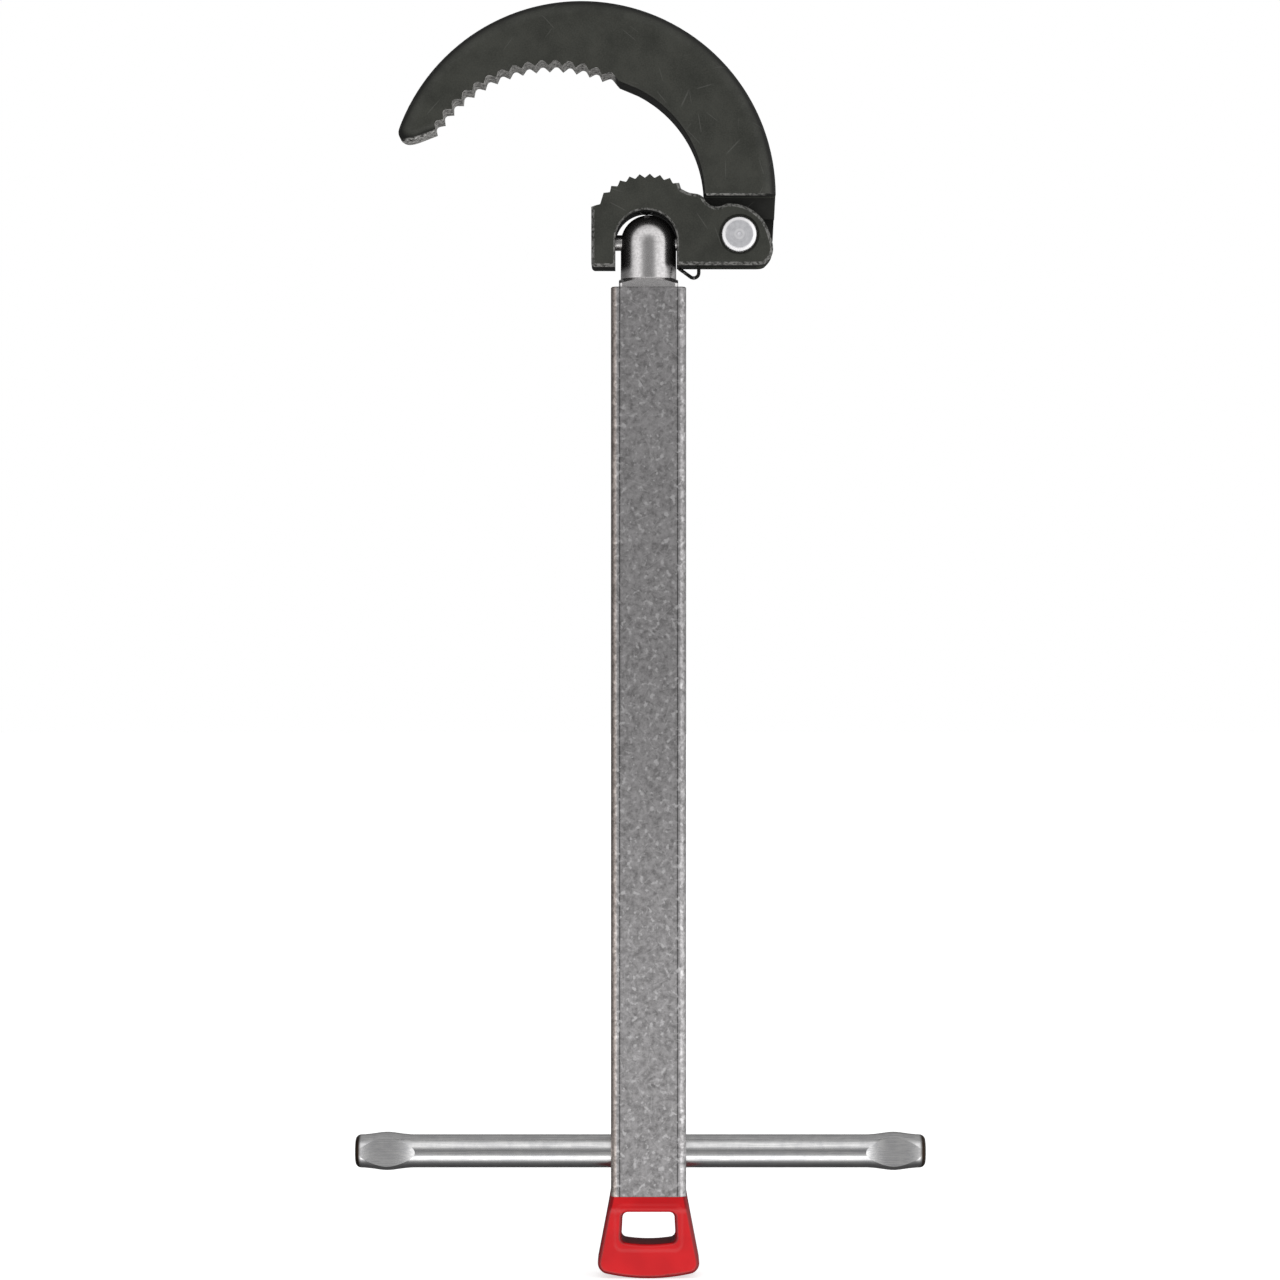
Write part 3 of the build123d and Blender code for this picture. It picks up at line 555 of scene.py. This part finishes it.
# ---- Springs: wires between the two bodies that they join ----
def wire_piece(name, points, radius, finish):
    """A round wire along a path, closed at both ends, as a new piece."""
    across = Vector((0, 1, 0))
    rings = []
    for index, point in enumerate(points):
        along = (points[min(index + 1, len(points) - 1)] - points[max(index - 1, 0)]).normalized()
        across = (across - along * across.dot(along)).normalized()
        other = along.cross(across)
        angles = [2 * math.pi * side / WIRE_SIDES for side in range(WIRE_SIDES)]
        rings.append([point + (across * math.cos(a) + other * math.sin(a)) * radius for a in angles])
    last_ring = WIRE_SIDES * (len(rings) - 1)
    faces = [tuple(range(WIRE_SIDES)), tuple(reversed(range(last_ring, last_ring + WIRE_SIDES)))]
    for first in range(0, last_ring, WIRE_SIDES):
        for side in range(WIRE_SIDES):
            here = first + side
            beside = first + (side + 1) % WIRE_SIDES
            faces.append((here, here + WIRE_SIDES, beside + WIRE_SIDES, beside))
    mesh = bpy.data.meshes.new("wire")
    mesh.from_pydata([point for ring in rings for point in ring], [], faces)
    mesh.polygons.foreach_set("use_smooth", [len(face) == 4 for face in faces])
    mesh.materials.append(finish)
    wire = bpy.data.objects.new(name, mesh)
    bpy.context.scene.collection.objects.link(wire)
    return wire


def rounded_corner(before, corner, after, radius):
    """The arc that rounds a corner of a path."""
    inward = (corner - before).normalized()
    outward = (after - corner).normalized()
    turn = inward.angle(outward)
    side = (outward - inward * math.cos(turn)).normalized()
    first = corner - inward * radius * math.tan(turn / 2)
    angles = [turn * step / BEND_STEPS for step in range(BEND_STEPS + 1)]
    return [first + side * radius * (1 - math.cos(a)) + inward * radius * math.sin(a) for a in angles]


def jaw_spring_path():
    """The leg that hooks under the block, the coil and the leg that presses on the tang."""
    corners = [Vector(corner) * MM for corner in DROP_LEG] + [COIL_START]
    points = [corners[0]]
    for index, radius in enumerate(DROP_LEG_BENDS):
        points += rounded_corner(*corners[index : index + 3], radius)
    steps = COIL_STEPS * COIL_TURNS
    for step in range(steps + 1):
        turn = 2 * math.pi * COIL_TURNS * step / steps
        ring = Vector((math.sin(turn), 0, math.cos(turn))) * COIL_RADIUS
        points.append(COIL_CENTRE + ring + Vector((0, COIL_PITCH * COIL_TURNS * step / steps, 0)))
    slope = COIL_PITCH / (2 * math.pi * COIL_RADIUS)
    points.append(points[-1] + Vector((1, slope, 0)) * PUSH_LEG_LENGTH)
    return points


def jaw_spring_wire():
    """The jaw spring as one wire, with its coil between the head and the hook."""
    wire = wire_piece("jaw_spring_wire", jaw_spring_path(), JAW_WIRE_RADIUS, black_wire)
    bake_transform(wire)
    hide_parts("jaw_spring")


def compression_spring(node, along, turns, thickness):
    """A coil spring in the CAD spring's place, with one end on each body. Along is its unit axis."""
    low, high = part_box(node)
    across = Vector((1, 0, 0))
    other = along.cross(across)
    radius = (high.x - low.x - thickness) / 2
    middle = (low + high) / 2
    half = along * ((high - low).dot(along) - thickness) / 2
    steps = COMPRESSION_STEPS * turns
    points = []
    for step in range(steps + 1):
        turn = 2 * math.pi * turns * step / steps
        ring = across * math.cos(turn) + other * math.sin(turn)
        points.append(middle + half * (2 * step / steps - 1) + ring * radius)
    wire = wire_piece(node + "_wire", points, thickness / 2, small_wire)
    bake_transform(wire)
    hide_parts(node)


jaw_spring_wire()
compression_spring("lock_spring", Vector((0, 1, 0)), LOCK_TURNS, LOCK_WIRE)
compression_spring("detent_spring", Vector((0, 0, 1)), DETENT_TURNS, DETENT_WIRE)


# ---- Studio ----
def light_round(tree, angle):
    """The light by the angle from the tool's front, in degrees."""
    shape = add(tree, "ShaderNodeValToRGB", {"Fac": calc(tree, "DIVIDE", angle, 180.0)})
    stops = shape.color_ramp.elements
    for index, (degrees, share) in enumerate(LIGHT_BY_ANGLE):
        stop = stops[index] if index < len(stops) else stops.new(1.0)
        stop.position = degrees / 180
        stop.color = (share, share, share, 1.0)
    return product(tree, shape.outputs["Color"], LIGHT_PEAK)


def studio_light():
    """The world: white behind the tool, and round it soft light that depends on its direction."""
    world = bpy.data.worlds.new("studio")
    bpy.context.scene.world = world
    world.use_nodes = True
    tree = world.node_tree
    tree.nodes.clear()
    direction = add(tree, "ShaderNodeTexCoord").outputs["Generated"]
    x, _, z = axes(tree, direction)
    towards_front = vector_calc(tree, "DOT_PRODUCT", direction, (0.0, -1.0, 0.0))
    angle = calc(tree, "DEGREES", calc(tree, "ARCCOSINE", towards_front))
    face = fade(tree, z, *FACE_LEVEL, FACE_LIGHT_BELOW, FACE_LIGHT_ABOVE)
    around = fade(tree, z, *SIDE_LEVEL, FLOOR_SHADE, 1.0)
    tilt = mix(tree, fade(tree, angle, *FACE_TO_SIDE), face, around)
    ring = product(tree, light_round(tree, angle), tilt)
    top = product(tree, fade(tree, z, *TOP_LEVEL, 0.0, TOP_LIGHT), fade(tree, angle, *TOP_FROM))
    right = product(tree, fade(tree, x, *RIGHT_REACH, 0.0, SIDE_LIGHT), fade(tree, angle, *RIGHT_FROM))
    strength = calc(tree, "ADD", ring, calc(tree, "ADD", top, right))
    seen = add(tree, "ShaderNodeLightPath").outputs["Is Camera Ray"]
    soft = add(tree, "ShaderNodeBackground", {"Color": WHITE, "Strength": strength}).outputs[0]
    plain = add(tree, "ShaderNodeBackground", {"Color": WHITE, "Strength": 1.0}).outputs[0]
    surface = add(tree, "ShaderNodeMixShader", {0: seen, 1: soft, 2: plain}).outputs[0]
    add(tree, "ShaderNodeOutputWorld", {"Surface": surface})


def studio_floor():
    """A plain pale floor at the tool's foot. It isn't mirrored in the metal and doesn't block the light."""
    corners = [(x * FLOOR_HALF, y * FLOOR_HALF, 0) for x, y in ((-1, -1), (1, -1), (1, 1), (-1, 1))]
    mesh = bpy.data.meshes.new("floor")
    mesh.from_pydata(corners, [], [(0, 1, 2, 3)])
    glow = {"Emission_Color": WHITE, "Emission_Strength": FLOOR_GLOW}
    mesh.materials.append(material("floor_paper", Base_Color=FLOOR_GREY, Roughness=0.9, **glow)[0])
    floor = bpy.data.objects.new("floor", mesh)
    floor.location.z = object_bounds()[0].z
    floor.visible_glossy = False
    floor.visible_diffuse = False
    floor.visible_shadow = False
    bpy.context.scene.collection.objects.link(floor)


def camera():
    """A long lens level with the tool's middle, looking along +Y."""
    data = bpy.data.cameras.new("camera")
    data.angle = CAMERA_FIELD
    data.clip_start, data.clip_end = CAMERA_RANGE
    new = bpy.data.objects.new("camera", data)
    new.location = CAMERA_PLACE
    new.rotation_euler = (math.pi / 2, 0.0, 0.0)
    bpy.context.scene.collection.objects.link(new)
    bpy.context.scene.camera = new


bpy.context.scene.view_settings.view_transform = "Standard"
studio_light()
studio_floor()
camera()
